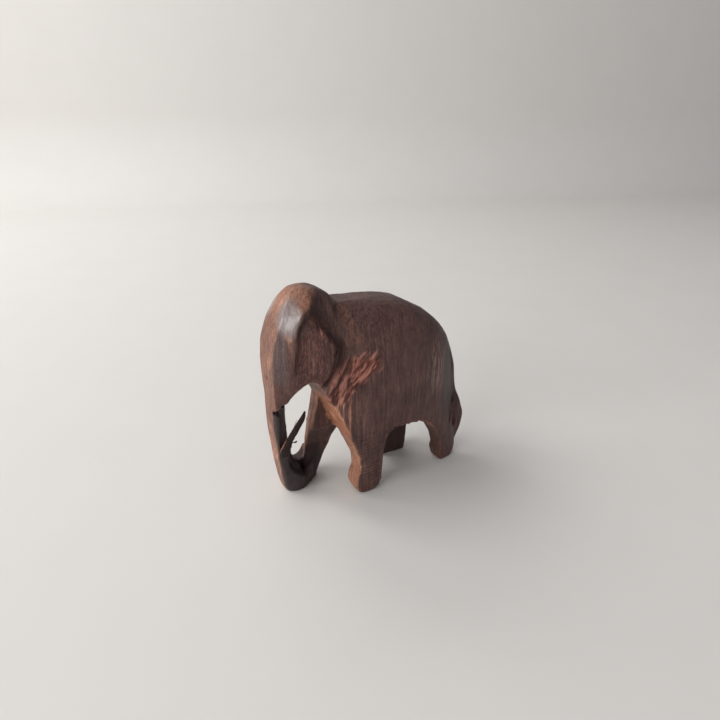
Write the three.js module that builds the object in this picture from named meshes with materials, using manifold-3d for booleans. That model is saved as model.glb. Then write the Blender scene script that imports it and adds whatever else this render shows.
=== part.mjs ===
// Hand-carved wooden elephant, cut from one small block of dark wood, in millimetres.
// Head towards -X, left flank towards -Y, soles on z = 0, origin under the middle of its length.
import * as THREE from 'three';
import { mergeVertices } from 'three/addons/utils/BufferGeometryUtils.js';
import Module from 'manifold-3d';

const wasm = await Module();
wasm.setup();

// The outlines share one datum behind the shoulder; the finished part is centred over its footprint.
const BLOCK_HALF_WIDTH = 9;
const ABOVE_BACK = 42;
const UNDER_SOLE = -1;
const WELD = 1e-4;
const SECTION_POINTS = 28;
const ARCH_POINTS = 20;
const ROWS_BETWEEN = 3;

// Side outlines [x, z], from the chest down the fore leg, along the belly and up behind the hind leg.
const LEFT_CHEST = [[-18.2, ABOVE_BACK], [-17.9, 22.4], [-16.2, 20.6], [-14.5, 17.4], [-13, 14.2]];
const LEFT_FORE_LEG = [
  [-12.2, 11.8], [-11.2, 9], [-10.5, 6.8], [-10.4, 4.6], [-11, 3.2], [-11.1, 1.6], [-10.8, 0.6],
  [-10.1, 0], [-7.6, 0], [-6.7, 0.5], [-6.2, 1.8], [-6.2, 4], [-5.9, 7], [-5.5, 9.4], [-4.8, 10.7],
];
const LEFT_BELLY = [[-3.4, 11.2], [-0.8, 11.2], [1.6, 10.8], [3.4, 10.1], [4.8, 8.9]];
const LEFT_HIND_LEG = [
  [5.8, 7.2], [6.9, 5.2], [7.5, 3], [7.2, 1.9], [7.7, 0], [10.6, 0], [11.7, 1], [12.4, 3.4],
  [12.8, 6], [13, 9], [13.4, 14], [13.4, ABOVE_BACK],
];
const RIGHT_CHEST = [[-18.2, ABOVE_BACK], [-17.9, 22.4], [-16, 20.4], [-14.8, 17.6], [-15.1, 15.4]];
const RIGHT_FORE_LEG = [
  [-15.6, 13.6], [-16.1, 11], [-16.6, 8.6], [-16.8, 5], [-17, 2], [-17.2, 0], [-14.6, 0], [-14, 2],
  [-12.9, 4.6], [-11.8, 6.4], [-11.5, 8], [-10.6, 9.8],
];
const RIGHT_BELLY = [[-8.6, 10.8], [-3.4, 10.9], [-1.9, 9.6]];
const RIGHT_HIND_LEG = [
  [-1.3, 6], [-1.1, 0], [4.3, 0], [4.5, 3], [4.7, 6], [5.5, 9], [8, 10.3], [11, 11.4], [13.4, 13],
  [13.4, ABOVE_BACK],
];

// Cross-sections of the body: x, height of the flank, height of the back, half width at the flank,
// half width at the soles, squareness.
const BODY_SECTIONS = [
  [-18.5, 22, 32, 4.2, 4.6, 2.2],
  [-15.5, 22, 33.8, 4.6, 5.6, 2.2],
  [-12.8, 22, 34.4, 5.6, 6.4, 2.2],
  [-9.5, 21, 33.7, 6.6, 6.5, 2.6],
  [-5, 20, 33.2, 6.9, 6.5, 3],
  [0, 19, 32.2, 6.8, 6.3, 3.2],
  [4.5, 18.5, 29.8, 6.2, 5.8, 3],
  [7.6, 17.5, 27.3, 5.2, 5.4, 2.8],
  [9.6, 16.5, 25, 3.9, 5.2, 2.6],
  [11.2, 14.5, 22, 2.5, 4.9, 2.4],
  [12.4, 12, 16.5, 1.5, 4.4, 2.2],
  [13.3, 8, 10, 1.2, 3.6, 2.2],
];

// Head sections, bottom to top: z, x of the face, half width of the face, x and half width at the
// temple, x and half width at the back edge of the ear, x of the neck joint.
const HEAD_SECTIONS = [
  [17.4, -23.1, 1.9, -21.8, 2.2, -20.6, 2.1, -19.6],
  [19.6, -23.3, 2.1, -21.2, 2.8, -18.4, 3.3, -16],
  [22, -23.4, 2.3, -20.9, 3.5, -15.8, 4.9, -12],
  [25, -23.4, 2.5, -20.6, 4.1, -15, 5.8, -11],
  [28.2, -23.1, 2.6, -19.9, 4.6, -13.9, 6.1, -11],
  [31, -22.4, 2.6, -18.7, 4.8, -14.8, 5.6, -11],
  [33.4, -21.3, 2.4, -17.8, 4.4, -14.6, 4.6, -11.5],
  [35.2, -20.1, 1.9, -17.4, 3.2, -14.6, 3.2, -12.6],
  [36.5, -18.9, 1.1, -17.6, 1.6, -15.6, 1.6, -14.4],
];
const NECK_HALF_WIDTH = 1.2;
// Sloping cut behind the crown [x, z].
const CROWN_CUT = [
  [-17.6, 36.5], [-15.6, 36.4], [-14.2, 35.7], [-12.6, 34.8], [-9.4, 34], [-9.4, ABOVE_BACK],
  [-17.6, ABOVE_BACK],
];
// Opening between trunk and chest [x, z].
const THROAT_GAP = [
  [-20.1, 8.2], [-20.7, 11], [-21, 14.5], [-21.1, 17.6], [-20.9, 19.2], [-19.6, 21.1], [-18, 22.4],
  [-16.9, 22], [-15.5, 19.6], [-14.8, 17.6], [-15.1, 15.4], [-15.6, 13.6], [-16.1, 11], [-16.5, 8.6],
  [-16.4, 6], [-16.9, 4.5], [-17.8, 4], [-18.8, 4.6], [-19.5, 6],
];

// Trunk sections, bottom to top: z, front x, back x, centre y, half width front, half width back.
const TRUNK_SECTIONS = [
  [0, -20.8, -17.2, 2, 1.4, 1.8],
  [1.5, -21.4, -17.2, 1.9, 1.8, 2],
  [5, -22, -18.4, 1.7, 1.9, 2],
  [8.5, -22.5, -19.9, 1.3, 1.9, 1.9],
  [12.5, -23, -20.4, 0.9, 2, 2],
  [16.5, -23.3, -20.5, 0.5, 2.1, 2.2],
  [19.5, -23.4, -20.8, 0.2, 2.1, 2.2],
];
const TRUNK_SQUARENESS = 4.6;

// Pared-back left side of the trunk, under the stop cut: z, depth the knife reached (y).
const PARING = [[2, -0.4], [5, -0.1], [9, -0.3], [14, -0.9], [17.4, -1], [18.6, -1.9]];
const PARING_X = [-22.2, -18];

// Tail strip, bottom to top: z, front x, back x, centre y, half width front, half width back.
const TAIL_SECTIONS = [
  [2.4, 10.8, 12.6, -3, 0.7, 0.6],
  [4.6, 11.6, 14.3, -2.4, 0.8, 0.7],
  [6.8, 12.3, 15.1, -2, 0.9, 0.7],
  [9, 12.2, 14.7, -1.6, 0.9, 0.7],
  [12, 11.8, 14.1, -1, 1, 0.8],
  [16, 10.6, 13.7, -0.4, 1, 0.8],
  [20, 9, 12.7, 0, 1.1, 0.9],
  [23.5, 7.4, 11.2, 0, 1.1, 0.9],
  [26, 5.6, 9, 0, 1, 0.8],
];
const TAIL_SQUARENESS = 2.8;
const TAIL_SLIT = [
  [11.7, 5.2], [12.5, 5.3], [12.9, 7.4], [12.8, 10.4], [12.3, 12.6], [11.8, 10], [11.5, 7.4],
];
const TAIL_SLIT_FLOOR = -2.6;

// Gap sawn between left and right legs: x, left edge and right edge at the soles, crown of the gap.
const LEG_GAP = [
  [-19, -3, 2.1, 10.9],
  [-10, -3, 2.1, 10.9],
  [0, -2.7, 1.8, 10.4],
  [8, -2.1, 1.3, 9.8],
  [16, -2, 1.3, 9.6],
];
const GAP_CROWN_Y = [-1.1, 0.7];
const GAP_SHOULDER = 0.62;

// Web of wood left between the trunk tip and the right forefoot.
const WEB_OUTLINE = [
  [-20.5, 0], [-20.5, 7], [-19.4, 6.2], [-18.6, 4.8], [-17.6, 4.2], [-16.6, 4.6], [-15.8, 6],
  [-14.6, 6], [-14, 4.4], [-14.2, 0],
];
const WEB_Y = [2.7, 5];
// Rim of the boot: its plan, and its U-shaped top edge [x, z].
const RIM_PLAN = [
  [-20.9, 1.1], [-20.4, 0.2], [-19.4, -0.2], [-17.9, 0], [-15.7, 1.4], [-13.9, 3.3], [-14.4, 5.6],
  [-20, 4.2],
];
const RIM_OUTLINE = [
  [-21.4, 0], [-21.4, 6], [-20.2, 6], [-20.1, 4.6], [-19.7, 3.6], [-18.8, 2.5], [-17.5, 2.1],
  [-16.4, 2.9], [-15.4, 4.1], [-14.8, 6], [-13.9, 6], [-13.5, 2.4], [-13.7, 0],
];

// Slanting knife cut along the front of the right fore leg: z, x of its inner edge.
const LEG_CHAMFER = [[-1, -17.6], [5, -17], [8, -16.6], [11, -16.1], [14, -15.5], [18, -14.7]];
const CHAMFER_INNER_Y = 2.4;
const CHAMFER_RUN = 4.6;

// Gouge cut on each side, from the nape down behind the ear to the throat: z, x, y of the gouge's
// axis, half width, depth of its sweep.
const EAR_GOUGE = [
  [38, -15.4, 7, 2.6, 4.8], [35.5, -15.5, 7, 2.9, 4.4], [33.5, -15.4, 7.4, 3.1, 4.4],
  [31.5, -14.8, 7.6, 2.9, 3.9], [29.5, -13.7, 7.6, 2.1, 3.2], [27.5, -12.8, 7.6, 1.4, 3],
  [25.5, -13, 7.6, 1.2, 3], [23.5, -14, 7.4, 1.1, 3], [21.4, -15.6, 6.8, 1.1, 2.9],
  [19.5, -17, 6.4, 1.1, 2.8],
];
const GOUGE_POINTS = 18;

// Splinter torn from the trunk, root to tip: x, y, z, half width, half thickness.
const SPLINTER_ROWS = [
  [-21.6, -1, 8.6, 0.9, 0.22],
  [-21.4, -1.1, 10, 0.85, 0.26],
  [-20.8, -1.25, 11.4, 0.72, 0.28],
  [-20.1, -1.35, 12.4, 0.64, 0.28],
  [-19, -1.4, 13.7, 0.58, 0.26],
  [-18.2, -1.4, 15, 0.48, 0.22],
  [-17.9, -1.4, 16, 0.18, 0.12],
];

function loft(rings) {
  const count = rings[0].length;
  const points = rings.flat();
  const index = [];
  for (let start = 0; start < count * (rings.length - 1); start += count) {
    for (let i = 0; i < count; i++) {
      const a = start + i;
      const b = start + ((i + 1) % count);
      index.push(a, b, b + count, a, b + count, a + count);
    }
  }
  const lastStart = count * (rings.length - 1);
  for (let i = 1; i + 1 < count; i++) {
    index.push(0, i + 1, i);
    index.push(lastStart, lastStart + i, lastStart + i + 1);
  }
  const geometry = new THREE.BufferGeometry().setFromPoints(points);
  geometry.setIndex(index);
  return geometry;
}

function toSolid(geometry) {
  const bare = geometry.clone();
  bare.deleteAttribute('normal');
  bare.deleteAttribute('uv');
  const welded = mergeVertices(bare, WELD);
  return new wasm.Manifold(new wasm.Mesh({
    numProp: 3,
    vertProperties: new Float32Array(welded.attributes.position.array),
    triVerts: new Uint32Array(welded.index.array),
  }));
}

// Adds rows between the given ones along a smooth curve through each column.
function smoothRows(rows) {
  const columns = rows[0].map((_, column) =>
    new THREE.SplineCurve(rows.map((row, i) => new THREE.Vector2(i, row[column]))));
  const steps = (rows.length - 1) * ROWS_BETWEEN;
  return Array.from({ length: steps + 1 }, (_, i) =>
    columns.map((curve) => curve.getPoint(i / steps).y));
}

function signedPower(value, exponent) {
  return Math.sign(value) * Math.abs(value) ** exponent;
}

// A side outline of [x, z] points swept across the block from y0 to y1.
function sweepAcross(outline, y0, y1) {
  const shape = new THREE.Shape(outline.map(([x, z]) => new THREE.Vector2(x, z)));
  const geometry = new THREE.ExtrudeGeometry(shape, { depth: y1 - y0, bevelEnabled: false });
  geometry.rotateX(Math.PI / 2);
  geometry.translate(0, y1, 0);
  return toSolid(geometry);
}

// Horizontal rounded-square sections stacked upwards, for the trunk and the tail.
function uprightStrip(rows, squareness) {
  const rings = smoothRows(rows).map(([z, xFront, xBack, yMid, halfFront, halfBack]) =>
    Array.from({ length: SECTION_POINTS }, (_, i) => {
      const angle = (2 * Math.PI * (i + 0.5)) / SECTION_POINTS;
      const along = signedPower(Math.cos(angle), 2 / squareness);
      const across = signedPower(Math.sin(angle), 2 / squareness);
      const half = THREE.MathUtils.lerp(halfFront, halfBack, (along + 1) / 2);
      const x = THREE.MathUtils.lerp(xFront, xBack, (along + 1) / 2);
      return new THREE.Vector3(x, yMid + across * half, z);
    }));
  return toSolid(loft(rings));
}

// Upright cross-sections of the body: straight sides below the flank, arched back above it.
function bodyEnvelope() {
  const rings = smoothRows(BODY_SECTIONS).map(([x, zFlank, zBack, half, halfSole, squareness]) => {
    const arch = Array.from({ length: ARCH_POINTS }, (_, i) => {
      const angle = (Math.PI * i) / (ARCH_POINTS - 1);
      const across = signedPower(Math.cos(angle), 2 / squareness);
      const rise = signedPower(Math.sin(angle), 2 / squareness);
      return new THREE.Vector3(x, half * across, zFlank + (zBack - zFlank) * rise);
    });
    const right = new THREE.Vector3(x, halfSole, UNDER_SOLE);
    const left = new THREE.Vector3(x, -halfSole, UNDER_SOLE);
    return [right, ...arch, left];
  });
  return toSolid(loft(rings));
}

function sawnSides() {
  const left = [...LEFT_CHEST, ...LEFT_FORE_LEG, ...LEFT_BELLY, ...LEFT_HIND_LEG];
  const right = [...RIGHT_CHEST, ...RIGHT_FORE_LEG, ...RIGHT_BELLY, ...RIGHT_HIND_LEG];
  return sweepAcross(left, -BLOCK_HALF_WIDTH, 0).add(sweepAcross(right, 0, BLOCK_HALF_WIDTH));
}

function legGap() {
  const rings = smoothRows(LEG_GAP).map(([x, left, right, crown]) => [
    new THREE.Vector3(x, right, UNDER_SOLE),
    new THREE.Vector3(x, right, crown * GAP_SHOULDER),
    new THREE.Vector3(x, GAP_CROWN_Y[1], crown),
    new THREE.Vector3(x, GAP_CROWN_Y[0], crown),
    new THREE.Vector3(x, left, crown * GAP_SHOULDER),
    new THREE.Vector3(x, left, UNDER_SOLE),
  ]);
  return toSolid(loft(rings));
}

function head() {
  const rings = smoothRows(HEAD_SECTIONS).map(([z, xFace, face, xTemple, temple, xEar, ear, xNeck]) => {
    const neck = Math.min(NECK_HALF_WIDTH, ear);
    const side = [[xFace, face], [xTemple, temple], [xEar, ear], [xNeck, neck]];
    const left = side.map(([x, half]) => new THREE.Vector3(x, -half, z));
    const right = side.map(([x, half]) => new THREE.Vector3(x, half, z));
    return [...left, ...right.reverse()];
  });
  return toSolid(loft(rings)).subtract(sweepAcross(CROWN_CUT, -BLOCK_HALF_WIDTH, BLOCK_HALF_WIDTH));
}

function trunkParing() {
  const rings = PARING.map(([z, y]) => [
    new THREE.Vector3(PARING_X[0], -BLOCK_HALF_WIDTH, z),
    new THREE.Vector3(PARING_X[1], -BLOCK_HALF_WIDTH, z),
    new THREE.Vector3(PARING_X[1], y, z),
    new THREE.Vector3(PARING_X[0], y, z),
  ]);
  return toSolid(loft(rings));
}

function footWeb() {
  const plan = new THREE.Shape(RIM_PLAN.map(([x, y]) => new THREE.Vector2(x, y)));
  const pad = new THREE.ExtrudeGeometry(plan, { depth: ABOVE_BACK, bevelEnabled: false });
  const rim = toSolid(pad).intersect(sweepAcross(RIM_OUTLINE, -BLOCK_HALF_WIDTH, BLOCK_HALF_WIDTH));
  return sweepAcross(WEB_OUTLINE, ...WEB_Y).add(rim);
}

function legChamfer() {
  const rings = smoothRows(LEG_CHAMFER).map(([z, x]) => [
    new THREE.Vector3(x, CHAMFER_INNER_Y, z),
    new THREE.Vector3(x + CHAMFER_RUN, BLOCK_HALF_WIDTH, z),
    new THREE.Vector3(x - CHAMFER_RUN, BLOCK_HALF_WIDTH, z),
  ]);
  return toSolid(loft(rings));
}

function earGouge(side) {
  const rings = smoothRows(EAR_GOUGE).reverse().map(([z, x, y, halfWidth, depth]) =>
    Array.from({ length: GOUGE_POINTS }, (_, i) => {
      const angle = (2 * Math.PI * i) / GOUGE_POINTS;
      return new THREE.Vector3(x + halfWidth * Math.cos(angle), side * y + depth * Math.sin(angle), z);
    }));
  return toSolid(loft(rings));
}

function carvedBlock() {
  let block = sawnSides().intersect(bodyEnvelope()).subtract(legGap());
  for (const piece of [head(), uprightStrip(TRUNK_SECTIONS, TRUNK_SQUARENESS)]) {
    block = block.add(piece);
  }
  block = block.subtract(sweepAcross(THROAT_GAP, -BLOCK_HALF_WIDTH, BLOCK_HALF_WIDTH));
  block = block.subtract(trunkParing()).subtract(legChamfer());
  block = block.add(uprightStrip(TAIL_SECTIONS, TAIL_SQUARENESS));
  block = block.subtract(sweepAcross(TAIL_SLIT, -BLOCK_HALF_WIDTH, TAIL_SLIT_FLOOR));
  block = block.add(footWeb());
  for (const side of [-1, 1]) {
    block = block.subtract(earGouge(side));
  }
  return block;
}

function splinter() {
  const rings = smoothRows(SPLINTER_ROWS).map(([x, y, z, half, thick]) => [
    new THREE.Vector3(x - half, y, z),
    new THREE.Vector3(x, y - thick, z),
    new THREE.Vector3(x + half, y, z),
    new THREE.Vector3(x, y + thick, z),
  ]);
  return toSolid(loft(rings));
}

function toMesh(solid, name, material) {
  const { vertProperties, triVerts } = solid.getMesh();
  const geometry = new THREE.BufferGeometry();
  geometry.setAttribute('position', new THREE.BufferAttribute(new Float32Array(vertProperties), 3));
  geometry.setIndex(new THREE.BufferAttribute(new Uint32Array(triVerts), 1));
  geometry.computeVertexNormals();
  const mesh = new THREE.Mesh(geometry, material);
  mesh.name = name;
  return mesh;
}

const darkWood = new THREE.MeshStandardMaterial({ color: 0x5a382b, roughness: 0.55, metalness: 0 });
const tornWood = new THREE.MeshStandardMaterial({ color: 0x3c241b, roughness: 0.8, metalness: 0 });

const block = carvedBlock();
const { min, max } = block.boundingBox();
const toOrigin = [-(min[0] + max[0]) / 2, -(min[1] + max[1]) / 2, -min[2]];

const elephant = new THREE.Group();
elephant.add(toMesh(block.translate(toOrigin), 'carved_block', darkWood));
elephant.add(toMesh(splinter().translate(toOrigin), 'trunk_splinter', tornWood));
export default elephant;
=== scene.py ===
"""Looks of the hand-carved wooden elephant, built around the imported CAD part."""
import itertools
import math
import bmesh
import bpy
import numpy as np
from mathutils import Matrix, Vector


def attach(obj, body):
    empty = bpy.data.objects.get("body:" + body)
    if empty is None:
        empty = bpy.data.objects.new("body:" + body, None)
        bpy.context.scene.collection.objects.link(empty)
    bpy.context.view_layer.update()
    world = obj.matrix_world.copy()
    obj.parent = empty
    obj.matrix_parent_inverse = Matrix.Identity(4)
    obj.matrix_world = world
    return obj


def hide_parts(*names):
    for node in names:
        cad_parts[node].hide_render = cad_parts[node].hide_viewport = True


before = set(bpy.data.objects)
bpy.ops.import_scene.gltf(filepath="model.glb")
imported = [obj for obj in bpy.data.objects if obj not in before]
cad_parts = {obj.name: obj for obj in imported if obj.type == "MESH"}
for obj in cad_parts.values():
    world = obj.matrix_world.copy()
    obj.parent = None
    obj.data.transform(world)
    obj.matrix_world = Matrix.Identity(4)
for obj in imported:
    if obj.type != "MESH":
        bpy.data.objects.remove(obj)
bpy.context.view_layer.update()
scene = bpy.context.scene

# Lengths are in millimetres here and become metres when a mesh is handed to Blender.
MM = 0.001
VOXEL = 0.14
# Rounds of evening out: over the whole carving, then of the places that are rounder than the rest.
FIRST_ROUNDS = 2
SOFTEN_ROUNDS = 6
CROWN_ROUNDS = 45
THROAT_ROUNDS = 30
SEAM_ROUNDS = 60
STEP_ROUNDS = 160
FOOT_ROUNDS = 26
# Rounds that tell the worn edges and the broad hollows that are painted in shade, and that soften the border
# of the polished temples and their painted highlight.
EDGE_ROUNDS = 10
HOLLOW_ROUNDS = 70
POLISH_ROUNDS = 6
# How far a knife cut reaches from its middle.
BACK_REACH = 9
RUMP_REACH = 12
KNIFE_FACETS = 45
SAW_RADIANS_PER_MM = 12


# ---------------------------------------------------------------- numbers over points

def ease(low, high, value):
    """0 below low, 1 above high, smooth between; works downwards when low > high."""
    t = np.clip((value - low) / (high - low), 0, 1)
    return t * t * (3 - 2 * t)


def lattice_noise(p, seed):
    """Smooth noise from -1 to 1 whose lattice cells are 1 wide."""
    cell = np.floor(p).astype(np.int64)
    blend = p - cell
    blend = blend * blend * (3 - 2 * blend)
    total = np.zeros(len(p))
    for corner in itertools.product((0, 1), repeat=3):
        at = cell + corner
        key = (at[:, 0] * 73856093) ^ (at[:, 1] * 19349663) ^ (at[:, 2] * 83492791) ^ (seed * 97654321)
        key = (key ^ (key >> 13)) * 1274126177
        key = (key ^ (key >> 16)) & 0xFFFF
        weight = np.prod(np.where(corner, blend, 1 - blend), axis=1)
        total += weight * (key / 32767.5 - 1)
    return total


def rough_noise(p, seed, octaves=3):
    """Several sizes of lattice noise, each half as tall and twice as fine as the last."""
    return sum(lattice_noise(p * 2 ** i, seed + i) / 2 ** i for i in range(octaves))


def line_distance(p, points):
    """Distance of each point from a polyline, and how far along it the nearest place is (0 to 1)."""
    best = np.full(len(p), np.inf)
    along = np.zeros(len(p))
    count = len(points) - 1
    for i in range(count):
        a = np.array(points[i], float)
        step = np.array(points[i + 1], float) - a
        t = np.clip((p - a) @ step / (step @ step), 0, 1)
        d = np.linalg.norm(p - a - t[:, None] * step, axis=1)
        nearer = d < best
        best = np.where(nearer, d, best)
        along = np.where(nearer, (i + t) / count, along)
    return best, along


def outline_distance(p, outline):
    """Signed distance of 2-D points from a closed outline, negative inside it."""
    closed = list(outline) + [outline[0]]
    best, _ = line_distance(p, closed)
    inside = np.zeros(len(p), bool)
    for (x0, y0), (x1, y1) in zip(closed[:-1], closed[1:]):
        crosses = (y0 > p[:, 1]) != (y1 > p[:, 1])
        rise = (y1 - y0) or 1e-9
        inside ^= crosses & (p[:, 0] < (x1 - x0) * (p[:, 1] - y0) / rise + x0)
    return np.where(inside, -best, best)


# ---------------------------------------------------------------- the carved surface

class Clay:
    """An even mesh over a CAD node that can be pushed about, in millimetres."""

    def __init__(self, node, voxel, lumps):
        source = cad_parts[node].data.copy()
        source.transform(((1 / MM, 0, 0, 0), (0, 1 / MM, 0, 0), (0, 0, 1 / MM, 0), (0, 0, 0, 1)))
        shape = bmesh.new()
        shape.from_mesh(source)
        for lump in lumps:
            corners = [shape.verts.new(corner) for corner in lump]
            bmesh.ops.convex_hull(shape, input=corners)
        shape.to_mesh(source)
        shape.free()
        work = bpy.data.objects.new("work", source)
        scene.collection.objects.link(work)
        remesh = work.modifiers.new("even", "REMESH")
        remesh.mode = "VOXEL"
        remesh.voxel_size = voxel
        shaped = work.evaluated_get(bpy.context.evaluated_depsgraph_get())
        self.mesh = bpy.data.meshes.new_from_object(shaped)
        bpy.data.objects.remove(work)
        count = len(self.mesh.vertices)
        self.p = np.empty(count * 3, np.float32)
        self.mesh.vertices.foreach_get("co", self.p)
        self.p = self.p.reshape(-1, 3).astype(float)
        edges = np.empty(len(self.mesh.edges) * 2, np.int32)
        self.mesh.edges.foreach_get("vertices", edges)
        self.a, self.b = edges.reshape(-1, 2).T
        touching = np.bincount(self.a, minlength=count) + np.bincount(self.b, minlength=count)
        self.degree = np.maximum(touching, 1)

    def average(self, values):
        """Mean of each point's neighbours."""
        count = len(self.degree)
        total = np.bincount(self.a, values[self.b], count) + np.bincount(self.b, values[self.a], count)
        return total / self.degree

    def spread(self, values, rounds, rate=0.5):
        """Values, or positions, evened out over the surface."""
        for _ in range(rounds):
            if values.ndim == 1:
                values = values + rate * (self.average(values) - values)
            else:
                near = np.stack([self.average(values[:, i]) for i in range(3)], axis=1)
                values = values + rate * (near - values)
        return values

    def soften(self, rounds, mask=None):
        smooth = self.spread(self.p, rounds)
        self.p = smooth if mask is None else self.p + mask[:, None] * (smooth - self.p)

    def store(self):
        self.mesh.vertices.foreach_set("co", self.p.astype(np.float32).ravel())
        self.mesh.update()

    def normals(self):
        self.store()
        n = np.empty(len(self.p) * 3, np.float32)
        self.mesh.vertices.foreach_get("normal", n)
        return n.reshape(-1, 3).astype(float)

    def push(self, amount):
        self.p = self.p + self.normals() * amount[:, None]

    def relief(self, rounds):
        """How far each point stands above (+) or below (-) the surface evened over some rounds."""
        return np.einsum("ij,ij->i", self.p - self.spread(self.p, rounds), self.normals())


# Places on the carving: x towards the tail, y towards the right flank, z up. Polylines are
# [x, y, z]; outlines on a flank are [x, z].
PATCH = [(-10.9, 19.7), (-10.4, 22), (-9.3, 23.8), (-8.2, 25.5), (-7.3, 26.1), (-6.4, 25.2), (-5.4, 25.9),
         (-4.1, 25.7), (-2.9, 24.5), (-3.6, 22.9), (-5.2, 21.9), (-6.4, 20.4), (-7.4, 19.6), (-8.2, 18.5),
         (-9.2, 17.6), (-10.1, 17.8), (-10.8, 18.6)]
# The line that splits the torn patch, as z and x, and the lean of its fibres on either side.
PATCH_SPLIT = ((18.5, 26.1), (-8, -6.9))
PATCH_LEANS = (22, 43)
# The temple ridge runs through these places on both sides of the head.
RIDGE_Z = (22, 24, 27, 28.3, 30.1, 31.9, 33.2, 34)
RIDGE_X = (-16.3, -16.4, -16.4, -16.2, -15.95, -15.4, -14.3, -13.9)
EAR_CHIPS = [(-12.2, -5, 31.2), (-11.2, -5.6, 29.6), (-10.4, -5.9, 28.2), (-10.5, -6, 26.8)]
NAPE_RIDGE = [(-9.7, -2.7, 34.9), (-8.7, -3.3, 32.9), (-8.2, -4.4, 30.6), (-7.5, -5.4, 28.2)]
# The painted light on the lit side of the nape ridge lies this far behind its crest.
RIDGE_PAINTED_LIGHT_BEHIND = 1.05
STOP_CUT = [(-16.5, -1.9, 18.9), (-17.4, -1.9, 18.3), (-18.3, -1.8, 17.6), (-19, -1.7, 17.1)]
FRONT_PIT = (-19.2, -0.1, 22.8)
BACK_FACETS = [((-1, 0, 33.2), (0.06, 0, 1)), ((5.8, 0, 31.3), (0.47, 0, 0.88)),
               ((12, 0, 26.8), (0.66, 0, 0.75))]
# Lumps of wood, each the convex hull of its corners, that make the forms fuller than the CAD solid.
BROW = [(-17.9, -2, 31.8), (-16.2, -2.1, 34.3), (-14.7, -4.9, 33.8), (-15.7, -4.8, 31.9), (-16.3, -4.5, 29.6),
        (-18.3, -2.5, 29.8), (-12.6, -3, 34), (-12.8, -3, 29.6), (-15, -2.4, 35)]
CHEST_WEDGE = [(-10.2, 0.4, 17.4), (-8.9, 1, 13.6), (-10.2, -3.4, 17.4), (-8.3, -3.4, 12.4), (-7, 1.4, 12.4),
               (-7, 0.4, 17.4), (-7, -3.4, 17.4), (-7, -3.4, 11)]
LEG_ROOT = [(-11.8, -0.05, 12.4), (-7.6, -0.05, 12.4), (-11.8, 2.6, 12.4), (-7.6, 2.6, 12.4),
            (-12, 1.9, 6.8), (-9.4, 1.9, 6.8), (-12, 2.6, 6.8), (-9.4, 2.6, 6.8)]
# Hollow inside the boot: x and z of its outline where it meets y = 0, and its slope across y.
BOOT_HOLLOW = [(-15.9, 9.6), (-16.1, 5.5), (-15.3, 4.1), (-14, 3), (-12.8, 3.1), (-11.8, 4.4),
               (-10.8, 7.1), (-10.5, 9), (-12.6, 8.9), (-13.6, 8.5), (-14, 9.6), (-14.6, 10.4)]
HOLLOW_SLOPE = (0.446, -0.744)
HOLLOW_DEPTH = 0.9
NOTCH_DEPTH = 0.9
THROAT = (-14.5, 0, 19.4)
CHEST_SEAM = (-9.3, -1, 12.8)
# Where the slanting cut of the right fore leg ends in a flat step in the CAD solid.
CHEEK_STEP = (-9.6, 4.7, 17.9)
SCOOP = [(-11.4, 35.8), (-13.5, 33.9), (-13.5, 32.5), (-11.9, 31.4), (-10.1, 30.3), (-9.3, 29), (-8.5, 27.3),
         (-7.9, 27.4), (-7.6, 28.2), (-8.7, 30.6), (-9.6, 32.6), (-10.2, 35)]
NOTCH = [(-19.3, 16.9), (-16.6, 18.9), (-16.2, 16.5), (-16.4, 16)]
SLIT = [(17.2, -2, 12.2), (16.7, -2.3, 10.1), (15.5, -3.3, 8.84), (14.6, -4.2, 7.4)]
RUMP_EDGE_X = 11.1
BELLY_LINE = [(-2, -6.5, 11.2), (2, -6.6, 11.2), (6, -6.4, 10.8), (9, -6, 8.9)]
PATCH_FIBRES = 46


def cut_facet(clay, at, normal, reach):
    """A knife cut: what stands above a plane, within reach of a place, is taken down to it."""
    at, normal = np.array(at, float), np.array(normal, float)
    normal /= np.linalg.norm(normal)
    above = (clay.p - at) @ normal
    outward = ease(0.1, 0.5, clay.normals() @ normal)
    near = ease(reach, 0.7 * reach, np.linalg.norm(clay.p - at, axis=1))
    depth = np.clip(above, 0, 1.2) * outward * near
    clay.p = clay.p - depth[:, None] * normal


def random_facets(clay, count, seed):
    """Shallow knife facets over the body behind the shoulder, above the legs."""
    draw = np.random.default_rng(seed)
    normals = clay.spread(clay.normals(), 12)
    for _ in range(count):
        i = draw.integers(len(clay.p))
        reach = draw.uniform(2.6, 5)
        if clay.p[i, 2] > 12 and clay.p[i, 0] > -7:
            cut_facet(clay, clay.p[i] - normals[i] * draw.uniform(0.02, 0.06), normals[i], reach)


def side_of(clay, sign):
    """Mask of what faces one flank: sign -1 for the left, 1 for the right."""
    return ease(0.15, 0.5, sign * clay.normals()[:, 1])


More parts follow.
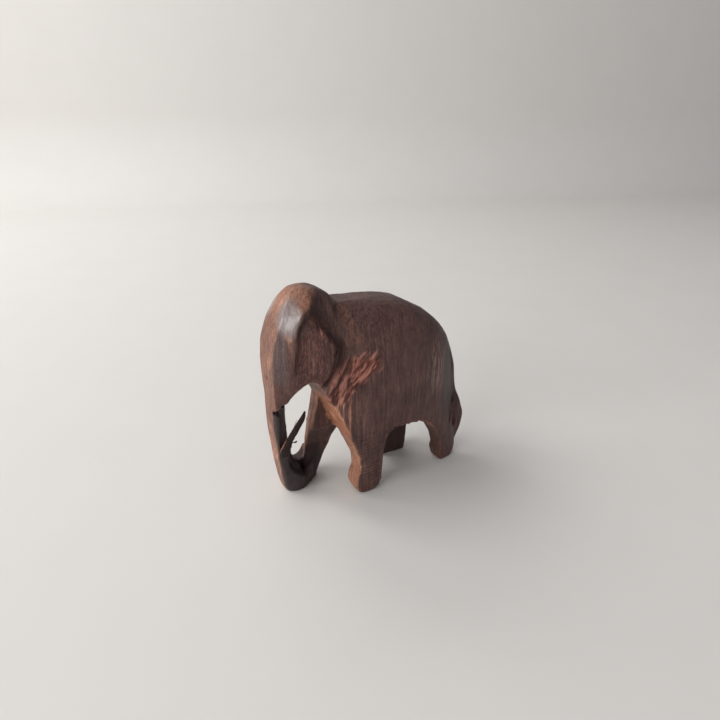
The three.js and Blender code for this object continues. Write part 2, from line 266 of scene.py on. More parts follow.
def carve_head(clay):
    """Rounds the crown, then cuts the hollow behind each temple ridge and raises the nape ridge.

    Returns the mask of the polished corners of the forehead, where a highlight is also painted.
    """
    crown = ease(28.5, 31, clay.p[:, 2]) * ease(-7.5, -9.5, clay.p[:, 0])
    clay.soften(CROWN_ROUNDS, crown)
    polish_and_highlight = np.zeros(len(clay.p))
    for sign in (-1, 1):
        # Where the temples are polished and where their highlight is painted.
        lit = np.linalg.norm((clay.p - (-15.9, sign * 3.4, 32.9)) / (1, 1, 1.2), axis=1)
        polish_and_highlight = np.maximum(polish_and_highlight, ease(3.3, 1.6, lit) * ease(0.2, 0.5, -clay.normals()[:, 0]))
        p = clay.p
        past = p[:, 0] - np.interp(p[:, 2], RIDGE_Z, RIDGE_X)
        dip = ease(0, 0.55, past) * ease(4.6, 0.9, past)
        span = ease(22.5, 25.5, p[:, 2]) * ease(34.2, 32.6, p[:, 2])
        clay.push(-0.6 * dip * span * side_of(clay, sign))
        distance, _ = line_distance(clay.p, [(x, -sign * y, z) for x, y, z in NAPE_RIDGE])
        clay.push(0.16 * ease(1.3, 0, distance))
    return polish_and_highlight


def patch_lean(x, z):
    """Degrees by which the torn fibres lean from upright: less in front of the split, more behind."""
    return np.where(x < np.interp(z, *PATCH_SPLIT), *PATCH_LEANS)


def torn_patch(clay):
    """Wood torn out of the left shoulder in ragged fibres. Returns its mask and its streaks."""
    p = clay.p
    lean = np.radians(patch_lean(p[:, 0], p[:, 2]))
    across = p[:, 0] * np.cos(lean) - p[:, 2] * np.sin(lean)
    along = p[:, 0] * np.sin(lean) + p[:, 2] * np.cos(lean)
    fibre = np.stack([across * 3.4, p[:, 1] * 0.2, along * 0.75], axis=1)
    streaks = rough_noise(fibre, 11, 2)
    broad = lattice_noise(fibre * 0.4, 19)
    distance = outline_distance(p[:, [0, 2]], PATCH) + 0.75 * rough_noise(fibre * 0.7, 16, 2)
    mask = ease(0.6, -0.6, distance) * ease(-3, -4, p[:, 1])
    clay.push(mask * (0.055 * streaks + 0.07 * broad - 0.05))
    return mask, ease(-1.4, 1.4, streaks + 0.7 * broad)


def boot_hollow_distance(p):
    """Signed distance from the boot's hollow, whose outline slides in x and z as y grows."""
    drop_x, drop_z = HOLLOW_SLOPE
    x, y, z = p.T
    return outline_distance(np.stack([x - drop_x * y, z - drop_z * y], axis=1), BOOT_HOLLOW)


def hollow_boot(clay):
    """Sinks the middle of the boot behind its rim, and the trunk's near face below the stop cut."""
    y = clay.p[:, 1]
    inside = ease(0.25, -0.15, boot_hollow_distance(clay.p)) * ease(3.4, 2.8, y)
    at_rim = ease(1.2, 0.6, y) * ease(0.2, 0.6, -clay.normals()[:, 1])
    clay.p[:, 1] += HOLLOW_DEPTH * inside * at_rim
    cut_back = ease(0.12, -0.12, outline_distance(clay.p[:, [0, 2]], NOTCH)) * ease(-1, -1.4, clay.p[:, 1])
    clay.p[:, 1] += NOTCH_DEPTH * cut_back


def carve_marks(clay):
    """Stop cut on the trunk, slit beside the tail, pit on the forehead, chips on ear and belly.

    Returns the mask of the ear's chips and that of the shade painted into the stop cut and the slit.
    """
    distance, along = line_distance(clay.p, STOP_CUT)
    # Painted shade in the groove of the stop cut.
    cut = ease(0.26, 0.08, distance) * ease(1, 0.7, along)
    clay.push(-0.42 * ease(0.3, 0, distance) * ease(1, 0.7, along))
    slit = ease(0.5, 0.1, line_distance(clay.p, SLIT)[0])
    clay.push(-0.4 * slit)
    # The slit gets painted shade too.
    cut = np.maximum(cut, 0.8 * slit)
    off = (clay.p - FRONT_PIT) / (0.5, 0.3, 0.55)
    clay.push(-0.3 * ease(1, 0.2, np.linalg.norm(off, axis=1)))
    chips = ease(1.3, 0.3, line_distance(clay.p, EAR_CHIPS)[0])
    streaks = rough_noise(clay.p * (1.9, 0.6, 0.7), 31, 4)
    clay.push(0.2 * chips * streaks)
    belly = ease(0.7, 0.2, line_distance(clay.p, BELLY_LINE)[0])
    clay.push(0.16 * belly * rough_noise(clay.p * (2.2, 1, 1.2), 37))
    return chips, cut


def sculpt_block():
    """The carving's surface, and for each of its points how strongly each mark is painted."""
    right_brow = [(x, -y, z) for x, y, z in BROW]
    clay = Clay("carved_block", VOXEL, (BROW, right_brow, CHEST_WEDGE, LEG_ROOT))
    clay.soften(FIRST_ROUNDS)
    polish_and_highlight = carve_head(clay)
    for at, normal in BACK_FACETS:
        cut_facet(clay, at, normal, BACK_REACH)
    cut_facet(clay, (RUMP_EDGE_X, -5.5, 18), (0.6, -0.8, 0.05), RUMP_REACH)
    random_facets(clay, KNIFE_FACETS, 5)
    hollow_boot(clay)
    clay.soften(SOFTEN_ROUNDS)
    throat = np.linalg.norm((clay.p - THROAT) / (4, 6, 2.4), axis=1)
    clay.soften(THROAT_ROUNDS, ease(1, 0.6, throat))
    seam = np.linalg.norm((clay.p - CHEST_SEAM) / (1.6, 3, 1.6), axis=1)
    clay.soften(SEAM_ROUNDS, ease(1, 0.5, seam))
    step = np.linalg.norm((clay.p - CHEEK_STEP) / (2.8, 2.4, 3), axis=1)
    clay.soften(STEP_ROUNDS, ease(1, 0.45, step))
    foot = ease(2.2, 0.6, clay.p[:, 2])
    clay.soften(FOOT_ROUNDS, foot)
    torn, tongues = torn_patch(clay)
    chips, cut = carve_marks(clay)
    # The marks' places are read here, before the last small pushes. Their normals and relief are
    # read from the finished surface.
    p = clay.p
    clay.push(0.035 * rough_noise(p * (1.7, 1.7, 0.14), 3) * (1 - torn))
    ear = (ease(-17, -15, p[:, 0]) * ease(-9.5, -11, p[:, 0])
           * ease(20, 22, p[:, 2]) * ease(33.5, 31.5, p[:, 2]))
    clay.push(0.05 * ear * side_of(clay, -1) * rough_noise(p * (1.8, 0.5, 0.12), 41))
    leg = ease(-10, -8.5, p[:, 0]) * ease(-1, -2, p[:, 0]) * ease(12.5, 11, p[:, 2]) * ease(2, 3.5, p[:, 2])
    leg = leg * side_of(clay, -1) * ease(-5, -6, p[:, 1])
    saw = np.sin(p[:, 2] * SAW_RADIANS_PER_MM + 1.6 * lattice_noise(p * (0.4, 0.4, 1.3), 51))
    clay.push(0.04 * leg * saw * ease(-0.8, 0.4, lattice_noise(p * (0.8, 1, 2.2), 52)))
    clay.p[:, 2] = np.maximum(clay.p[:, 2], 0)
    normals = clay.normals()
    convex, wide = clay.relief(EDGE_ROUNDS), clay.relief(HOLLOW_ROUNDS)
    bowl = ease(6.6, 4.6, p[:, 2]) * ease(-7.6, -9.6, p[:, 0])
    pared = ease(17.6, 17, p[:, 2]) * ease(-12, -13, p[:, 0])
    in_notch = ease(0.15, -0.1, outline_distance(p[:, [0, 2]], NOTCH)) * ease(0, -0.5, p[:, 1])
    pared = np.maximum(pared, in_notch)
    boot = np.maximum(bowl, pared) * ease(0.15, 0.4, -normals[:, 1])
    # The chest between the fore legs, where light is painted.
    lit_chest = ease(19.5, 18, p[:, 2]) * ease(10.5, 12, p[:, 2]) * ease(1.2, 0.4, p[:, 1])
    lit_chest = lit_chest * ease(-5.5, -7, p[:, 0]) * ease(-12.5, -11.6, p[:, 0])
    rump = ease(RUMP_EDGE_X, RUMP_EDGE_X + 0.5, p[:, 0]) * ease(8, 11, p[:, 2]) * ease(27, 24, p[:, 2])
    hind_front = ease(6, 8, p[:, 0]) * ease(9, 7.5, p[:, 2]) * ease(0.4, 0.7, -normals[:, 0])
    far_leg = ease(2, 3.5, p[:, 0]) * ease(14, 7.5, p[:, 2]) * ease(0.5, 1.5, p[:, 1])
    shoulder = ease(-11.9, -11.2, p[:, 0]) * ease(-6.5, -8, p[:, 0]) * ease(18.6, 20, p[:, 2])
    scoop = ease(0.6, -0.9, outline_distance(p[:, [0, 2]], SCOOP)) * ease(-0.05, 0.25, -normals[:, 1])
    ridge = ease(1.5, 0.4, line_distance(p, NAPE_RIDGE)[0])
    scoop, shoulder = scoop * (1 - 0.7 * ridge), shoulder * (1 - 0.7 * ridge)
    # Painted shade inside the hollow of the boot.
    cavity_shade = ease(0.6, -0.5, boot_hollow_distance(p)) * ease(5.8, 5.2, p[:, 1])
    cavity_shade = cavity_shade * ease(0.35, 0.05, normals[:, 1])
    grey = ease(-17, -17.5, p[:, 0]) * ease(21, 24, p[:, 2]) * ease(33, 30, p[:, 2])
    grey = grey * ease(0.35, 0.6, np.abs(normals[:, 1]))
    crown_top = ease(30.5, 34.5, p[:, 2]) * ease(-11.5, -13.5, p[:, 0]) * ease(0.2, 0.5, normals[:, 2])
    right_leg = (ease(17, 15, p[:, 2]) * ease(-13.5, -12.8, p[:, 0])
                 * ease(-9.6, -10.4, p[:, 0]) * ease(-0.3, 0.1, p[:, 1]))
    inner_side = right_leg * ease(1.7, 1.1, p[:, 1])
    low_front = ((1 - inner_side) * ease(12.5, 10.5, p[:, 2]) * ease(0.5, 0.8, -normals[:, 0])
                 * ease(-17.2, -15.5, p[:, 0]))
    near_side = side_of(clay, -1)
    # Faces turned to the front, towards the main light: their warmer colour is partly the bare wood's own and
    # partly painted light.
    bare_and_lit_front = ease(0.5, 0.8, -normals[:, 0]) * (1 - shoulder) * ease(-3, -6, p[:, 0])
    marks = {
        "torn": np.maximum(torn, 0.8 * chips * ease(0, 0.8, lattice_noise(p * (2.2, 0.6, 0.7), 61))),
        # Painted shade in the stop cut and the slit.
        "cut": cut,
        # Painted shade inside the boot's hollow.
        "cavity_shade": cavity_shade,
        "tongues": tongues,
        # Painted shade: the scoop behind the left temple, the left shoulder behind the ear, the left side of
        # the rump, the fronts of the hind legs, the far hind leg and the inner side of the right fore leg are
        # darkened where they lie in shade.
        "painted_shade": np.max((0.75 * scoop, 0.4 * shoulder * near_side, 0.75 * rump * near_side, hind_front,
                         far_leg, 0.7 * inner_side), axis=0),
        "ear": ear * near_side,
        # Painted light along the lit side of the nape ridge.
        "ridge": ease(1.3, 0.3, line_distance(p - (RIDGE_PAINTED_LIGHT_BEHIND, 0, 0), NAPE_RIDGE)[0]),
        "edge": ease(0.008, 0.06, convex),
        # Painted shade in the broad hollows, kept off the chest, where light is painted.
        "hollow": ease(0.02, 0.25, -wide) * (1 - 0.8 * lit_chest),
        "polish_and_highlight": clay.spread(polish_and_highlight, POLISH_ROUNDS),
        "grey": grey,
        "saw": leg,
        "boot": boot,
        "rubbed": ease(1, 0.3, np.linalg.norm((p - (9.2, -6, 20)) / (3.2, 3, 7), axis=1)),
        # Warmer front faces and crown: partly the bare wood's own colour, partly painted light.
        "front": np.maximum(bare_and_lit_front, crown_top) * (1 - inner_side),
        # Painted light: the chest, the low front faces and the crown are coloured bright orange, as where the
        # light falls on them.
        "lit_chest": np.max((lit_chest * ease(0.3, 0.55, -normals[:, 0]), 0.55 * low_front, 0.5 * crown_top), axis=0),
        "endgrain": ease(0.45, 0.85, normals[:, 2]),
    }
    return clay, marks


SPLINTER_PATH = [(-17.5, -1, 8.5), (-17.2, -1.15, 10), (-16.6, -1.25, 11.4), (-15.9, -1.35, 12.5),
                 (-14.9, -1.4, 13.9), (-14.15, -1.4, 15), (-13.75, -1.4, 16)]
PALE_HAIR = [(-18.5, -1.3, 9.5), (-18, -1.35, 10.4), (-17.4, -1.35, 11.3), (-17, -1.3, 12.1)]
SPLINTER_RINGS = 34
SPLINTER_SIDES = 14
HAIR_RINGS = 12
HAIR_SIDES = 6
# Half the splinter's width and half its thickness, from root to tip.
SPLINTER_HALF = (0.95, 0.8, 0.62, 0.6, 0.56, 0.46, 0.16)
SPLINTER_THICK = (0.3, 0.28, 0.28, 0.28, 0.26, 0.22, 0.1)


def shard(path, halves, thicks, sides, ragged, seed):
    """Tapered sliver along a path, with its flat side towards y: points, faces."""
    path = np.array(path, float)
    draw = np.random.default_rng(seed)
    points, faces = [], []
    angles = 2 * np.pi * np.arange(sides) / sides
    jitter = 1 + ragged * draw.uniform(-1, 1, sides)
    for i, at in enumerate(path):
        along = path[min(i + 1, len(path) - 1)] - path[max(i - 1, 0)]
        across = np.cross(along, (0, 1, 0))
        across /= np.linalg.norm(across)
        out = np.cross(across, along)
        out /= np.linalg.norm(out)
        wobble = jitter * (1 + 0.5 * ragged * draw.uniform(-1, 1, sides))
        for angle, w in zip(angles, wobble):
            points.append(at + w * (halves[i] * math.cos(angle) * across + thicks[i] * math.sin(angle) * out))
    for i in range(len(path) - 1):
        for j in range(sides):
            k = (j + 1) % sides
            faces.append((i * sides + j, i * sides + k, (i + 1) * sides + k, (i + 1) * sides + j))
    last = (len(path) - 1) * sides
    faces.append(tuple(range(sides))[::-1])
    faces.append(tuple(range(last, last + sides)))
    return points, faces


def resampled(path, values, count):
    """A path and the values along it at more places."""
    old = np.linspace(0, 1, len(path))
    new = np.linspace(0, 1, count)
    path = np.array(path, float)
    spread = [tuple(np.interp(t, old, path[:, i]) for i in range(3)) for t in new]
    return spread, [np.interp(new, old, v) for v in values]


def joined(parts, name):
    """One object from several lists of points and faces."""
    points, faces = [], []
    for part_points, part_faces in parts:
        faces += [tuple(i + len(points) for i in face) for face in part_faces]
        points += list(part_points)
    mesh = bpy.data.meshes.new(name)
    mesh.from_pydata([Vector(p) * MM for p in points], [], faces)
    mesh.shade_smooth()
    obj = bpy.data.objects.new(name, mesh)
    scene.collection.objects.link(obj)
    return obj


def splinter():
    """The sliver split off the trunk, with loose fibres at its root and edges."""
    path, (halves, thicks) = resampled(SPLINTER_PATH, (SPLINTER_HALF, SPLINTER_THICK), SPLINTER_RINGS)
    parts = [shard(path, halves, thicks, SPLINTER_SIDES, 0.16, 3)]
    hairs = [
        ([(-17.3, -1.2, 9.9), (-16.6, -1.45, 10.8), (-16, -1.5, 11), (-15.75, -1.5, 10.95)], 0.1),
        ([(-16.2, -1.3, 12.6), (-15.8, -1.4, 13.6), (-15.45, -1.4, 14.3), (-15.25, -1.4, 14.9)], 0.05),
        ([(-17, -1.2, 10.6), (-16.9, -1.6, 11.3), (-16.95, -1.8, 12), (-17.1, -1.9, 12.4)], 0.05),
    ]
    for seed, (line, half) in enumerate(hairs):
        line, (width,) = resampled(line, ([half, half, 0.8 * half, 0.3 * half],), HAIR_RINGS)
        parts.append(shard(line, width, 0.7 * width, HAIR_SIDES, 0.2, seed))
    fleck = [(-15.95, -1.5, 10.8), (-15.7, -1.55, 10.95), (-15.4, -1.5, 11.05)]
    parts.append(shard(fleck, (0.05, 0.17, 0.05), (0.05, 0.12, 0.05), 8, 0.2, 9))
    return joined(parts, "splinter")


def patch_fibres(clay):
    """Loose slivers standing out of the torn patch, and the pale hair at the splinter's root."""
    draw = np.random.default_rng(21)
    side = np.flatnonzero(clay.p[:, 1] < -3)
    outline = np.array(PATCH)
    parts = []
    while len(parts) < PATCH_FIBRES:
        spot = draw.uniform(outline.min(0), outline.max(0))
        if outline_distance(spot[None], PATCH)[0] > -0.3:
            continue
        root = clay.p[side[np.argmin(np.abs(clay.p[side][:, [0, 2]] - spot).sum(1))]]
        lean = math.radians(patch_lean(*spot) + draw.uniform(-7, 7))
        length, lift = draw.uniform(0.6, 1.9), draw.uniform(0.03, 0.16)
        half = draw.uniform(0.04, 0.1)
        line = [root + length * t * np.array((math.sin(lean), 0, math.cos(lean)))
                - np.array((0, lift * t * t - 0.06 * (1 - t), 0)) for t in np.linspace(0, 1, 6)]
        parts.append(shard(line, half * np.array((1, 1, 0.9, 0.7, 0.45, 0.12)),
                           half * np.array((0.8, 0.7, 0.6, 0.5, 0.3, 0.1)), HAIR_SIDES, 0.25, len(parts)))
    path, widths = resampled(PALE_HAIR, [(0.05, 0.13, 0.12, 0.03)], HAIR_RINGS)
    parts.append(shard(path, widths[0], 0.7 * widths[0], HAIR_SIDES, 0.2, 1))
    return joined(parts, "torn_fibres")


def finish_mesh(clay, marks, name):
    """The carved surface as an object, with its marks as point attributes."""
    clay.store()
    clay.mesh.name = name
    clay.mesh.transform(((MM, 0, 0, 0), (0, MM, 0, 0), (0, 0, MM, 0), (0, 0, 0, 1)))
    for mark, values in marks.items():
        layer = clay.mesh.attributes.new(mark, "FLOAT", "POINT")
        layer.data.foreach_set("value", values.astype(np.float32))
    clay.mesh.shade_smooth()
    obj = bpy.data.objects.new(name, clay.mesh)
    scene.collection.objects.link(obj)
    return obj


# ---------------------------------------------------------------- materials

class Shader:
    """Short calls for building a node material around one Principled shader."""

    def __init__(self, name):
        self.material = bpy.data.materials.new(name)
        self.material.use_nodes = True
        self.tree = self.material.node_tree
        self.surface = self.tree.nodes["Principled BSDF"]
        coordinates = self.tree.nodes.new("ShaderNodeTexCoord")
        scaled = self.tree.nodes.new("ShaderNodeVectorMath")
        scaled.operation = "SCALE"
        scaled.inputs["Scale"].default_value = 1 / MM
        self.tree.links.new(coordinates.outputs["Object"], scaled.inputs[0])
        self.place = scaled.outputs[0]

    def put(self, value, socket):
        if isinstance(value, bpy.types.NodeSocket):
            self.tree.links.new(value, socket)
        else:
            socket.default_value = value

    def math(self, operation, *values):
        node = self.tree.nodes.new("ShaderNodeMath")
        node.operation = operation
        for value, socket in zip(values, node.inputs):
            self.put(value, socket)
        return node.outputs[0]

    def noise(self, stretch, detail=4.0, roughness=0.6, distortion=0.0, lean=0):
        """Noise stretched along the grain, which leans by some degrees from upright in the XZ plane."""
        turn = self.tree.nodes.new("ShaderNodeVectorRotate")
        turn.rotation_type = "Y_AXIS"
        turn.inputs["Angle"].default_value = math.radians(-lean)
        self.put(self.place, turn.inputs["Vector"])
        node = self.tree.nodes.new("ShaderNodeVectorMath")
        node.operation = "MULTIPLY"
        self.put(turn.outputs[0], node.inputs[0])
        node.inputs[1].default_value = stretch
        texture = self.tree.nodes.new("ShaderNodeTexNoise")
        self.put(node.outputs[0], texture.inputs["Vector"])
        texture.inputs["Scale"].default_value = 1
        texture.inputs["Detail"].default_value = detail
        texture.inputs["Roughness"].default_value = roughness
        texture.inputs["Distortion"].default_value = distortion
        return texture.outputs["Fac"]

    def ramp(self, factor, stops):
        node = self.tree.nodes.new("ShaderNodeValToRGB")
        self.put(factor, node.inputs[0])
        points = node.color_ramp.elements
        while len(points) < len(stops):
            points.new(1)
        for point, (at, colour) in zip(points, stops):
            point.position = at
            point.color = (*colour, 1)
        return node.outputs[0]

    def between(self, low, high, value):
        node = self.tree.nodes.new("ShaderNodeMapRange")
        node.interpolation_type = "SMOOTHSTEP"
        for v, socket in zip((value, low, high), node.inputs):
            self.put(v, socket)
        return node.outputs[0]

    def mix(self, factor, a, b):
        node = self.tree.nodes.new("ShaderNodeMix")
        node.data_type = "RGBA"
        self.put(factor, node.inputs["Factor"])
        for value, key in ((a, "A_Color"), (b, "B_Color")):
            socket = next(s for s in node.inputs if s.identifier == key)
            self.put((*value, 1) if isinstance(value, tuple) else value, socket)
        return next(s for s in node.outputs if s.identifier == "Result_Color")

    def mark(self, name):
        node = self.tree.nodes.new("ShaderNodeAttribute")
        node.attribute_name = name
        return node.outputs["Fac"]

    def bump(self, height, distance, below=None):
        node = self.tree.nodes.new("ShaderNodeBump")
        node.inputs["Strength"].default_value = 1
        node.inputs["Distance"].default_value = distance
        self.put(height, node.inputs["Height"])
        if below is not None:
            self.put(below, node.inputs["Normal"])
        return node.outputs[0]


def wood_material():
    s = Shader("dark_wood")
    streak = s.noise((2.4, 2.4, 0.24), 6, 0.64, 0.6)
    fibre = s.noise((8, 8, 1.3), 3, 0.65, 0.4)
    cloud = s.noise((0.3, 0.3, 0.22), 3, 0.5)
    grit = s.noise((7, 7, 7), 3, 0.7)
    pore = s.between(0.6, 0.7, s.noise((11, 11, 1.1), 2, 0.5))
    tone = s.math("ADD", s.math("MULTIPLY", streak, 0.45), s.math("MULTIPLY", fibre, 0.3))
    tone = s.math("ADD", tone, s.math("MULTIPLY", cloud, 0.25))
    colour = s.ramp(tone, ((0.38, (0.034, 0.012, 0.011)), (0.47, (0.092, 0.037, 0.031)),
                           (0.55, (0.145, 0.065, 0.053)), (0.66, (0.24, 0.125, 0.1))))
    warm_and_lit = s.ramp(tone, ((0.34, (0.08, 0.03, 0.019)), (0.46, (0.19, 0.08, 0.052)),
                         (0.56, (0.28, 0.135, 0.092)), (0.7, (0.42, 0.25, 0.18))))
    # Bright orange, used for painted light.
    orange = s.ramp(tone, ((0.36, (0.15, 0.045, 0.022)), (0.46, (0.36, 0.13, 0.068)),
                           (0.56, (0.64, 0.3, 0.175)), (0.7, (0.8, 0.5, 0.36))))
    red = s.ramp(fibre, ((0.38, (0.026, 0.007, 0.006)), (0.49, (0.07, 0.02, 0.016)),
                         (0.62, (0.2, 0.07, 0.056))))
    colour = s.mix(s.math("MULTIPLY", s.mark("ear"), 0.85), colour, red)
    rubbed = s.math("MULTIPLY", s.mark("rubbed"), s.between(0.42, 0.6, streak))
    colour = s.mix(s.math("MULTIPLY", rubbed, 0.95), colour, (0.32, 0.19, 0.16))
    # Front faces warmer and brighter: partly the bare wood's own colour, partly painted light.
    colour = s.mix(s.mark("front"), colour, warm_and_lit)
    # Painted light: bright orange on the chest, the low fronts and the crown, and in patches over the front
    # faces.
    patchy_front = s.math("MULTIPLY", s.mark("front"), s.between(0.5, 0.85, cloud))
    glow = s.math("MAXIMUM", s.mark("lit_chest"), patchy_front)
    colour = s.mix(glow, colour, orange)
    speckle = s.noise((4.6, 4.6, 0.9), 3, 0.7)
    mottle = s.math("MULTIPLY", s.between(0.5, 0.62, speckle), s.mark("front"))
    colour = s.mix(s.math("MULTIPLY", mottle, 0.42), colour, (0.12, 0.045, 0.026))
    bright = s.math("MULTIPLY", s.between(0.47, 0.36, speckle), s.mark("front"))
    colour = s.mix(s.math("MULTIPLY", bright, 0.2), colour, (0.62, 0.38, 0.28))
    # Grey rubbed wood on the temples and down the trunk; on the polished temples this grey is partly painted
    # light as well.
    greyed = s.math("MULTIPLY", s.math("MAXIMUM", s.mark("grey"), s.mark("polish_and_highlight")), 0.6)
    colour = s.mix(greyed, colour, s.ramp(grit, ((0.4, (0.08, 0.056, 0.054)), (0.6, (0.18, 0.135, 0.13)))))
    # Painted highlight: the polished temples are lightened towards pale grey, as where the window light
    # shines off them.
    colour = s.mix(s.math("MULTIPLY", s.mark("polish_and_highlight"), 0.4), colour, (0.34, 0.3, 0.3))
    colour = s.mix(s.math("MULTIPLY", pore, 0.4), colour, (0.03, 0.012, 0.008))
    speck = s.between(0.64, 0.72, s.noise((6, 6, 4), 2, 0.5))
    colour = s.mix(s.math("MULTIPLY", speck, 0.25), colour, (0.42, 0.25, 0.2))
    end_pore = s.math("MULTIPLY", s.between(0.58, 0.66, s.noise((5, 5, 5), 2, 0.6)), s.mark("endgrain"))
    colour = s.mix(s.math("MULTIPLY", end_pore, 0.5), colour, (0.07, 0.025, 0.015))
    saw_line = s.math("MULTIPLY", s.between(0.48, 0.58, s.noise((0.7, 0.7, 5), 3, 0.6)), s.mark("saw"))
    colour = s.mix(s.math("MULTIPLY", saw_line, 0.65), colour, (0.026, 0.012, 0.01))
    torn_streak = s.math("ADD", s.math("MULTIPLY", s.mark("tongues"), 0.55),
                         s.math("MULTIPLY", s.noise((7, 2, 1.5), 3, 0.65, lean=32), 0.45))
    torn_tone = s.ramp(torn_streak, ((0.34, (0.055, 0.016, 0.012)), (0.46, (0.15, 0.04, 0.028)),
                                     (0.57, (0.3, 0.098, 0.068)), (0.7, (0.48, 0.21, 0.155))))
    colour = s.mix(s.mark("torn"), colour, torn_tone)
    colour = s.mix(s.math("MULTIPLY", s.mark("edge"), 0.35), colour, (0.3, 0.14, 0.09))
    dark = s.ramp(fibre, ((0.38, (0.016, 0.011, 0.011)), (0.6, (0.042, 0.03, 0.031))))
    colour = s.mix(s.math("MULTIPLY", s.mark("boot"), 0.9), colour, dark)
    # Painted shade, near black, inside the boot's hollow.
    colour = s.mix(s.math("MULTIPLY", s.mark("cavity_shade"), 0.92), colour, (0.022, 0.006, 0.006))
    # Painted shade: the places that lie in shade are darkened towards near-black brown.
    colour = s.mix(s.math("MULTIPLY", s.mark("painted_shade"), 0.8), colour, (0.04, 0.016, 0.012))
    # Painted shade in the broad hollows.
    colour = s.mix(s.math("MULTIPLY", s.mark("hollow"), 0.7), colour, (0.022, 0.009, 0.008))
    # Painted light: a lighter band along the lit side of the nape ridge.
    lit_ridge = s.math("MULTIPLY", s.mark("ridge"), s.between(0.36, 0.54, streak))
    colour = s.mix(lit_ridge, colour, (0.2, 0.085, 0.058))
    # Painted shade, near black, in the stop cut and the slit.
    colour = s.mix(s.math("MULTIPLY", s.mark("cut"), 0.9), colour, (0.008, 0.003, 0.003))
    s.put(colour, s.surface.inputs["Base Color"])
    rough = s.math("ADD", 0.42, s.math("MULTIPLY", streak, 0.2))
    rough = s.math("ADD", rough, s.math("MULTIPLY", s.mark("torn"), 0.3))
    rough = s.math("SUBTRACT", rough, s.math("MULTIPLY", s.mark("polish_and_highlight"), 0.14))
    s.put(rough, s.surface.inputs["Roughness"])
    s.put(s.mark("polish_and_highlight"), s.surface.inputs["Coat Weight"])
    s.surface.inputs["Coat Roughness"].default_value = 0.3
    low = s.bump(streak, 0.00016)
    fine = s.bump(fibre, 0.00007, below=low)
    rasp = s.bump(grit, 0.00005, below=fine)
    s.put(s.bump(s.math("SUBTRACT", 1, pore), 0.00005, below=rasp), s.surface.inputs["Normal"])
    return s.material


def torn_material():
    s = Shader("torn_wood")
    tone = s.noise((6, 6, 1.4), 4, 0.65)
    # Very dark: partly the torn wood's own colour, partly painted shade for the splinter's near side, which
    # lies in shade.
    s.put(s.ramp(tone, ((0.36, (0.012, 0.004, 0.004)), (0.6, (0.03, 0.011, 0.011)),
                        (0.76, (0.11, 0.045, 0.035)))), s.surface.inputs["Base Color"])
    s.surface.inputs["Roughness"].default_value = 0.8
    s.put(s.bump(tone, 0.00012), s.surface.inputs["Normal"])
    return s.material


def fibre_material():
    s = Shader("torn_fibre")
    tone = s.noise((5, 5, 2), 3, 0.7)
    s.put(s.ramp(tone, ((0.36, (0.12, 0.038, 0.026)), (0.52, (0.28, 0.105, 0.072)),
                        (0.68, (0.5, 0.28, 0.21)))), s.surface.inputs["Base Color"])
    s.surface.inputs["Roughness"].default_value = 0.85
    s.put(s.bump(tone, 0.00006), s.surface.inputs["Normal"])
    return s.material


def pale_material(name, colour):
    s = Shader(name)
    s.surface.inputs["Roughness"].default_value = 0.75
    tone = s.noise((0.05, 0.05, 0.05), 3, 0.5)
    s.put(s.mix(tone, colour, tuple(0.96 * c for c in colour)), s.surface.inputs["Base Color"])
    return s.material


# ---------------------------------------------------------------- pieces

def add_piece(obj, material, slot, *replaced):
    obj.data.materials.clear()
    obj.data.materials.append(material)
    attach(obj, "root")
    if replaced:
        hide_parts(*replaced)


clay, marks = sculpt_block()
fibres = patch_fibres(clay)
add_piece(finish_mesh(clay, marks, "carving"), wood_material(), "carved_wood", "carved_block")
add_piece(splinter(), torn_material(), "torn_wood", "trunk_splinter")
add_piece(fibres, fibre_material(), "torn_wood")


# ---------------------------------------------------------------- stage, light, camera

CAMERA_AT = (-46.87, -73.77, 59.91)
CAMERA_HEADING = 31
CAMERA_PITCH = 23.8
WALL_NEAREST = 385
WALL_TURN = -9
SWEEP_RADIUS = 60
SWEEP_STEPS = 24
FLOOR_TOWARDS_CAMERA = 600
FLOOR_HALF_WIDTH = 1200
WALL_TOP = 700
LIGHTS_AIM_Z = 15
LENS = 28
SENSOR_WIDTH = 36
CLIP_METRES = (0.005, 10)
FLOOR_COLOUR = (0.8, 0.775, 0.745)


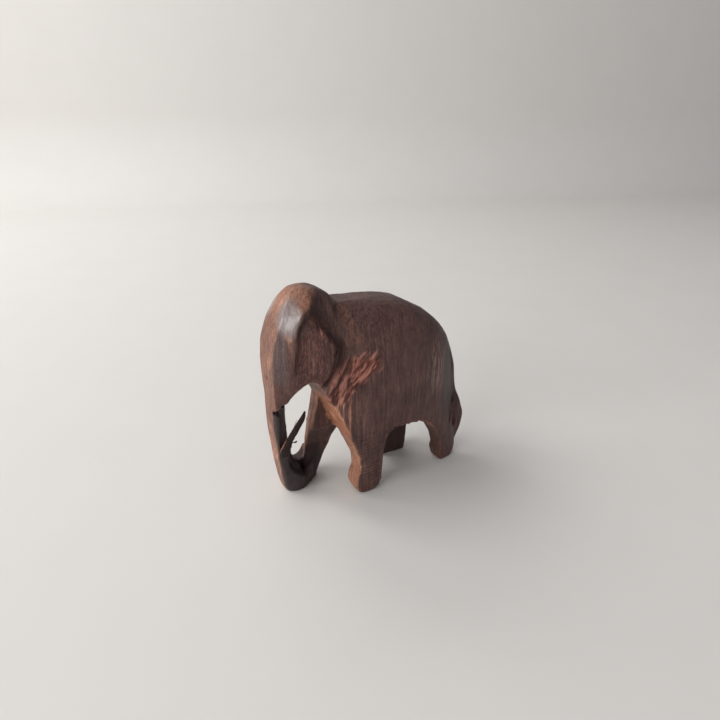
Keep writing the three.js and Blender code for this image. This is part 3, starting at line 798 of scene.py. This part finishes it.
def sweep_floor():
    """Pale floor that curves up into a wall behind the object."""
    turn = math.radians(CAMERA_HEADING + WALL_TURN)
    away = Vector((math.sin(turn), math.cos(turn), 0))
    side = Vector((away.y, -away.x, 0))
    profile = [(-FLOOR_TOWARDS_CAMERA, 0)]
    for i in range(SWEEP_STEPS + 1):
        a = math.pi / 2 * i / SWEEP_STEPS
        reach = WALL_NEAREST - SWEEP_RADIUS + SWEEP_RADIUS * math.sin(a)
        profile.append((reach, SWEEP_RADIUS * (1 - math.cos(a))))
    profile.append((WALL_NEAREST, WALL_TOP))
    points, faces = [], []
    for reach, height in profile:
        for across in (-FLOOR_HALF_WIDTH, FLOOR_HALF_WIDTH):
            points.append((away * reach + side * across + Vector((0, 0, height))) * MM)
    for i in range(len(profile) - 1):
        faces.append((2 * i, 2 * i + 1, 2 * i + 3, 2 * i + 2))
    mesh = bpy.data.meshes.new("floor")
    mesh.from_pydata(points, [], faces)
    mesh.shade_smooth()
    floor = bpy.data.objects.new("floor", mesh)
    scene.collection.objects.link(floor)
    mesh.materials.append(pale_material("pale_floor", FLOOR_COLOUR))


def area_light(name, toward, distance, size, power, colour):
    data = bpy.data.lights.new(name, "AREA")
    data.shape = "RECTANGLE"
    data.size, data.size_y = size[0] * MM, size[1] * MM
    data.energy = power
    data.color = colour
    light = bpy.data.objects.new(name, data)
    direction = Vector(toward).normalized()
    light.location = direction * distance * MM + Vector((0, 0, LIGHTS_AIM_Z * MM))
    light.rotation_euler = direction.to_track_quat("Z", "Y").to_euler()
    scene.collection.objects.link(light)


def lights():
    area_light("front_window", (-0.92, -0.22, 0.3), 600, (420, 240), 2.15, (1, 0.985, 0.97))
    area_light("side_window", (-0.6, 0.4, 0.72), 600, (320, 320), 1.5, (1, 0.985, 0.97))
    area_light("back_window", (0.05, 0.78, 0.62), 520, (400, 200), 0.9, (1, 1, 1))
    world = bpy.data.worlds.new("soft_room")
    world.use_nodes = True
    world.node_tree.nodes["Background"].inputs["Color"].default_value = (0.93, 0.96, 1, 1)
    world.node_tree.nodes["Background"].inputs["Strength"].default_value = 0.26
    scene.world = world


def camera():
    data = bpy.data.cameras.new("camera")
    data.lens = LENS
    data.sensor_width = SENSOR_WIDTH
    data.clip_start, data.clip_end = CLIP_METRES
    view = bpy.data.objects.new("camera", data)
    view.location = Vector(CAMERA_AT) * MM
    view.rotation_euler = (math.radians(90 - CAMERA_PITCH), 0, math.radians(-CAMERA_HEADING))
    scene.collection.objects.link(view)
    scene.camera = view


sweep_floor()
lights()
camera()
scene.view_settings.view_transform = "Standard"
